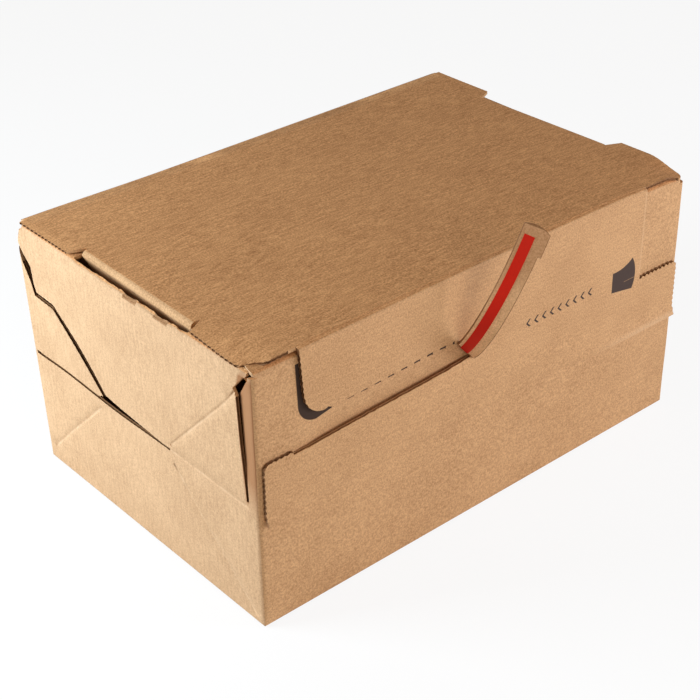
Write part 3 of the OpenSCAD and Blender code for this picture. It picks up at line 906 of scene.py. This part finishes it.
def makeMarksGroup():
    tree, source, sink = newGroup("frontMarks", {"Point": "Vector"},
                                  {"Hook": "Float", "Pull": "Float", "WearAndHighlight": "Float"})
    axes = splitPoint(tree, source["Point"])
    u, z = minus(tree, axes[0], board["left"]), axes[2]
    low, high = ink["wall"]
    onWall = times(tree, calc(tree, "GREATER_THAN", axes[1], low), calc(tree, "LESS_THAN", axes[1], high))
    onFlap = calc(tree, "LESS_THAN", axes[1], ink["flap"])
    hook = times(tree, hookMask(tree, u, z), onWall)
    dashes = times(tree, dashMask(tree, u, z), onFlap)
    tree.links.new(calc(tree, "MAXIMUM", hook, dashes), sink["Hook"])
    printed = calc(tree, "MAXIMUM", pullMask(tree, u, z), arrowMask(tree, u, z))
    tree.links.new(times(tree, printed, onFlap), sink["Pull"])
    tree.links.new(times(tree, wearAndHighlightMask(tree, u, z), onFlap), sink["WearAndHighlight"])
    return tree


# creases of the end walls, from the rear edge and from the floor, pale from worn liner and painted highlight;
# the strip of wall in front of the upright slit is darkened brown as painted shade
creases = {"lines": [((8, 11), (65.5, 65.5)), ((129, 74.5), (189.8, 136.3)), ((131, 64.5), (196, 5)),
                     ((128, 71.5), (193, 71.5))],
           "width": 0.6, "strength": 0.28, "colour": (0.86, 0.62, 0.40, 1),
           "patchScale": 0.16, "patches": (0.35, 0.62), "least": 0.15,
           "cornerShade": 0.85, "cornerShadeFrom": 191.0, "cornerShadeLow": 78, "cornerShadeTop": 148, "cornerShadeColour": (0.32, 0.133, 0.050, 1)}


def makeCreaseGroup():
    tree, source, sink = newGroup("paleCreasesAndCornerShade", {"Point": "Vector"}, {"Mask": "Float", "PaintedCornerShade": "Float"})
    axes = splitPoint(tree, source["Point"])
    u, z = minus(tree, board["rear"], axes[1]), axes[2]
    mask = 0.0
    # each crease is a pale line: worn liner, and painted highlight on its ridge
    for (u0, z0), (u1, z1) in creases["lines"]:
        length = math.hypot(u1 - u0, z1 - z0)
        cu, cz = (u1 - u0) / length, (z1 - z0) / length
        du, dz = minus(tree, u, u0), minus(tree, z, z0)
        run = calc(tree, "MULTIPLY_ADD", du, cu, times(tree, dz, cz))
        off = calc(tree, "ABSOLUTE", minus(tree, times(tree, du, cz), times(tree, dz, cu)))
        line = allOf(tree, over(tree, creases["width"], off, 0.9), over(tree, run, 0.0, 3),
                     over(tree, length, run, 3))
        mask = calc(tree, "MAXIMUM", line, mask)
    patches = remap(tree, mottle(tree, source["Point"], creases["patchScale"], 3), *creases["patches"],
                    creases["least"], 1.0)
    tree.links.new(allOf(tree, mask, patches, creases["strength"]), sink["Mask"])
    # painted shade on the strip of end wall in front of the upright slit
    shadedStrip = allOf(tree, over(tree, u, creases["cornerShadeFrom"], 1.5), over(tree, z, creases["cornerShadeLow"], 22),
                   over(tree, creases["cornerShadeTop"], z, 6))
    tree.links.new(times(tree, shadedStrip, creases["cornerShade"]), sink["PaintedCornerShade"])
    return tree


kraftGroup = makeKraftGroup()
marksGroup = makeMarksGroup()
creaseGroup = makeCreaseGroup()


def newMaterial(name):
    mat = bpy.data.materials.new(name)
    mat.use_nodes = True
    tree = mat.node_tree
    return mat, tree, tree.nodes["Principled BSDF"]


def objectPoint(tree):
    place = addNode(tree, "ShaderNodeTexCoord").outputs["Object"]
    return addNode(tree, "ShaderNodeVectorMath", {0: place, "Scale": 1 / mm}, operation="SCALE").outputs[0]


def addRelief(tree, shader, strength, distance, height):
    bump = addNode(tree, "ShaderNodeBump", {"Strength": strength, "Distance": distance, "Height": height})
    tree.links.new(bump.outputs[0], shader.inputs["Normal"])


# the torn-off end of the strip is darkened towards its tip, as painted shade
tipShade = {"height": 152, "soft": 30, "strength": 0.45, "colour": (0.225, 0.075, 0.0155, 1)}


def makeKraft(panel):
    finish = panels[panel]
    mat, tree, shader = newMaterial("kraft" + panel.capitalize())
    point = objectPoint(tree)
    axes = splitPoint(tree, point)
    across, along = (axes[k] for k in finish["axes"])
    paper = addNode(tree, "ShaderNodeGroup", node_tree=kraftGroup)
    for socket, value in (("Point", point), ("Across", across), ("Along", along)):
        tree.links.new(value, paper.inputs[socket])
    for socket in ("Tint", "Grain", "Streak"):
        paper.inputs[socket].default_value = finish[socket.lower()]
    colour = paper.outputs["Colour"]
    sheet = addNode(tree, "ShaderNodeAttribute", attribute_name="sheetPoint").outputs["Vector"]
    if panel == "front":
        marks = addNode(tree, "ShaderNodeGroup", node_tree=marksGroup)
        tree.links.new(sheet, marks.inputs["Point"])
        # pale worn liner and painted highlight along the lower right rim and the neck's right edge
        colour = mixColour(tree, marks.outputs["WearAndHighlight"], colour, creases["colour"])
        # the printed hook, and painted shade for the perforation slits
        colour = mixColour(tree, marks.outputs["Hook"], colour, ink["colour"])
        pulled = times(tree, marks.outputs["Pull"], ink["pullStrength"])
        colour = mixColour(tree, pulled, colour, ink["pullColour"])
    if panel == "end":
        wornAndShaded = addNode(tree, "ShaderNodeGroup", node_tree=creaseGroup)
        tree.links.new(sheet, wornAndShaded.inputs["Point"])
        # painted shade in front of the upright slit, then the pale creases
        colour = mixColour(tree, wornAndShaded.outputs["PaintedCornerShade"], colour, creases["cornerShadeColour"])
        colour = mixColour(tree, wornAndShaded.outputs["Mask"], colour, creases["colour"])
    if panel == "strip":
        # painted shade, darker towards the tip of the strip
        tipShaded = over(tree, axes[2], tipShade["height"], tipShade["soft"])
        colour = mixColour(tree, times(tree, tipShaded, tipShade["strength"]), colour, tipShade["colour"])
    tree.links.new(colour, shader.inputs["Base Color"])
    tree.links.new(paper.outputs["Roughness"], shader.inputs["Roughness"])
    shader.inputs["Specular IOR Level"].default_value = kraft["specular"]
    addRelief(tree, shader, finish["relief"], kraft["relief"], paper.outputs["Height"])
    return mat


# red film of the tear tape: fine draw lines, with a soft gloss
film = {"light": (0.64, 0.017, 0.005, 1), "deep": (0.53, 0.013, 0.004, 1), "scale": 0.9,
        "roughness": (0.48, 0.2), "specular": 0.12, "bump": 0.15, "relief": 0.0001}


def makeFilm():
    mat, tree, shader = newMaterial("redFilm")
    lines = mottle(tree, objectPoint(tree), film["scale"], 3)
    tree.links.new(mixColour(tree, lines, film["deep"], film["light"]), shader.inputs["Base Color"])
    smoothest, spread = film["roughness"]
    tree.links.new(calc(tree, "MULTIPLY_ADD", lines, spread, smoothest), shader.inputs["Roughness"])
    shader.inputs["Specular IOR Level"].default_value = film["specular"]
    addRelief(tree, shader, film["bump"], film["relief"], lines)
    return mat


# cream adhesive of the hidden seal strip, rippled
adhesive = {"light": (0.72, 0.67, 0.55, 1), "deep": (0.62, 0.56, 0.42, 1), "scale": 0.3,
            "roughness": (0.3, 0.3)}


def makeAdhesive():
    mat, tree, shader = newMaterial("sealAdhesive")
    ripple = mottle(tree, objectPoint(tree), adhesive["scale"], 3)
    tree.links.new(mixColour(tree, ripple, adhesive["deep"], adhesive["light"]), shader.inputs["Base Color"])
    smoothest, spread = adhesive["roughness"]
    tree.links.new(calc(tree, "MULTIPLY_ADD", ripple, spread, smoothest), shader.inputs["Roughness"])
    return mat


boardMaterials = [makeKraft(panel) for panel in panels]
print("materials made")

carton = finishPiece(makeCarton(), "foldedCarton", boardMaterials)
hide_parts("carton")
for nodeName, mat in (("tear_tape", makeFilm()), ("seal_strip", makeAdhesive())):
    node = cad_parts[nodeName]
    node.data.materials.clear()
    node.data.materials.append(mat)

# studio, in metres: white floor, soft key from the left rear, cool fill from the right, warm light in front
studio = {"floorWhite": 0.62, "floorGlow": 0.88, "floorSize": 4, "floorRough": 0.9, "worldStrength": 0.21,
          "worldTint": (1.0, 0.82, 0.66, 1), "white": (1, 1, 1, 1), "aim": (0, 0, 0.08)}
lamps = {"key": {"place": (-0.66, 0.36, 0.36), "size": 0.42, "power": 7.9, "tint": (0.85, 1.0, 1.11)},
         "fill": {"place": (0.66, -0.85, 0.33), "size": 0.5, "power": 6.5, "tint": (0.95, 1.0, 1.12)},
         "front": {"place": (-0.28, -1.17, 0.42), "size": 0.6, "power": 3.4, "tint": (1.0, 0.91, 0.78)}}


def seenDirectly(tree):
    path = addNode(tree, "ShaderNodeLightPath").outputs
    glimpse = calc(tree, "MAXIMUM", path["Is Glossy Ray"], path["Is Transmission Ray"])
    return calc(tree, "MAXIMUM", path["Is Camera Ray"], glimpse)


def makeWorld():
    world = bpy.data.worlds.new("studio")
    scene.world = world
    world.use_nodes = True
    tree = world.node_tree
    tree.nodes.clear()
    soft = addNode(tree, "ShaderNodeBackground", {"Color": studio["worldTint"],
                                                  "Strength": studio["worldStrength"]})
    white = addNode(tree, "ShaderNodeBackground", {"Color": studio["white"], "Strength": 1.0})
    seen = seenDirectly(tree)
    mix = addNode(tree, "ShaderNodeMixShader", {0: seen, 1: soft.outputs[0], 2: white.outputs[0]})
    out = tree.nodes.new("ShaderNodeOutputWorld")
    tree.links.new(mix.outputs[0], out.inputs["Surface"])


def makeFloor():
    mat, tree, shader = newMaterial("sweep")
    seen = seenDirectly(tree)
    pale = (studio["floorWhite"],) * 3 + (1,)
    tree.links.new(mixColour(tree, seen, pale, studio["white"]), shader.inputs["Base Color"])
    shader.inputs["Roughness"].default_value = studio["floorRough"]
    glow = addNode(tree, "ShaderNodeEmission", {"Color": studio["white"], "Strength": 1.0})
    keep = times(tree, seen, studio["floorGlow"])
    mix = addNode(tree, "ShaderNodeMixShader", {0: keep, 1: shader.outputs[0], 2: glow.outputs[0]})
    tree.links.new(mix.outputs[0], tree.nodes["Material Output"].inputs["Surface"])
    bm = bmesh.new()
    bmesh.ops.create_grid(bm, x_segments=8, y_segments=8, size=studio["floorSize"])
    mesh = bpy.data.meshes.new("floor")
    bm.to_mesh(mesh)
    bm.free()
    mesh.materials.append(mat)
    floor = bpy.data.objects.new("floor", mesh)
    scene.collection.objects.link(floor)


def makeLamp(name, settings):
    data = bpy.data.lights.new(name, "AREA")
    data.energy = settings["power"]
    data.size = settings["size"]
    data.color = settings["tint"]
    lamp = bpy.data.objects.new(name, data)
    place = Vector(settings["place"])
    turn = (place - Vector(studio["aim"])).to_track_quat("Z", "Y")
    lamp.matrix_world = Matrix.Translation(place) @ turn.to_matrix().to_4x4()
    lamp.visible_camera = False
    scene.collection.objects.link(lamp)


makeWorld()
makeFloor()
for lampName, lampSettings in lamps.items():
    makeLamp(lampName, lampSettings)
print("studio set")

bpy.context.view_layer.update()
